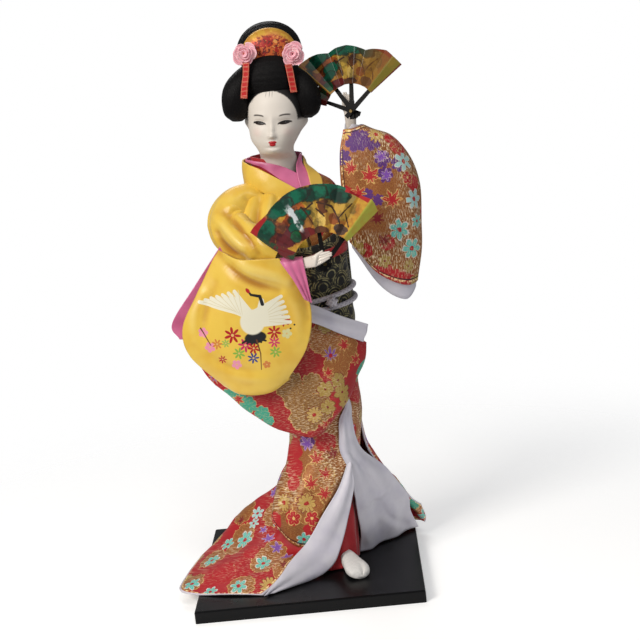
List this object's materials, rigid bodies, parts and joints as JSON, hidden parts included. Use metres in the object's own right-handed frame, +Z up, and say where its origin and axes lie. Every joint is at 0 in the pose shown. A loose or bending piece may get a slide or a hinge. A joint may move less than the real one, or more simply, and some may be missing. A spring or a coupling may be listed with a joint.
{
  "type": "geisha doll",
  "caption": "Standing geisha doll in layered kimono with open pleated fans, flowers in the hair and a spreading train, on a square lacquered plinth.",
  "frame": {"origin": "middle of the plinth's underside", "axes": "+Z up along the figure, the doll faces -Y, +X to the viewer's right"},
  "size_m": [0.1509, 0.12, 0.2997],
  "materials": {
    "brocade": "red brocade with gold and coloured flowers",
    "fan_paper": "printed gold paper",
    "fan_stick": "black lacquered wood",
    "gold_trim": "gold braid",
    "hair": "black silk fibre",
    "lacquer": "gloss black lacquer",
    "obi_cloth": "black brocade with gold swirls",
    "obi_cord": "braided grey-white cord",
    "padding": "wound cotton and straw padding",
    "pink_satin": "pink satin",
    "red_crepe": "red crepe",
    "red_ribbon": "red brocade ribbon with gold threads",
    "rivet_brass": "polished brass",
    "rose_satin": "pink satin",
    "skin": "satin off-white",
    "white_lining": "white satin",
    "white_sock": "white cotton",
    "wire": "drawn steel wire",
    "yellow_satin": "yellow satin"
  },
  "bodies": {
    "root": {"arm_front": "padding", "arm_raised": "padding", "bodice_brocade": "brocade", "bodice_yellow": "yellow_satin", "body_core": "padding", "collar_gold": "gold_trim", "collar_pink_left": "pink_satin", "collar_pink_right": "pink_satin", "collar_yellow": "yellow_satin", "cuff_pink": "pink_satin", "cuff_white": "white_lining", "dropped_sleeve": "brocade", "fan_front_leaf": "fan_paper", "fan_front_rivet": "rivet_brass", "fan_front_stick_1": "fan_stick", "fan_front_stick_2": "fan_stick", "fan_front_stick_3": "fan_stick", "fan_raised_leaf": "fan_paper", "fan_raised_rivet": "rivet_brass", "fan_raised_stick_1": "fan_stick", "fan_raised_stick_2": "fan_stick", "fan_raised_stick_3": "fan_stick", "fan_raised_stick_4": "fan_stick", "foot_left": "white_sock", "foot_right": "white_sock", "hair_bag": "hair", "hair_cap": "hair", "hair_crest": "red_ribbon", "hair_front_roll": "hair", "hair_topknot": "hair", "hair_wing_left": "hair", "hair_wing_right": "hair", "hand_front": "skin", "hand_raised": "skin", "head": "skin", "leg_wire_left": "wire", "leg_wire_right": "wire", "obi": "obi_cloth", "obi_cord_knot": "obi_cord", "obi_cord_lower": "obi_cord", "obi_cord_upper": "obi_cord", "obi_knot": "obi_cloth", "obi_sash_red": "red_crepe", "plinth": "lacquer", "ribbon_left": "red_ribbon", "ribbon_right": "red_ribbon", "rose_left": "rose_satin", "rose_right": "rose_satin", "side_lining": "white_lining", "skirt": "brocade", "sleeve_lining_pink": "pink_satin", "sleeve_raised": "brocade", "sleeve_raised_lining": "white_lining", "sleeve_yellow_bag": "yellow_satin", "sleeve_yellow_upper": "yellow_satin", "train": "brocade", "train_lining": "white_lining", "under_collar_red": "red_crepe", "underskirt_red": "red_crepe", "white_fold": "white_lining"}
  },
  "joints": []
}
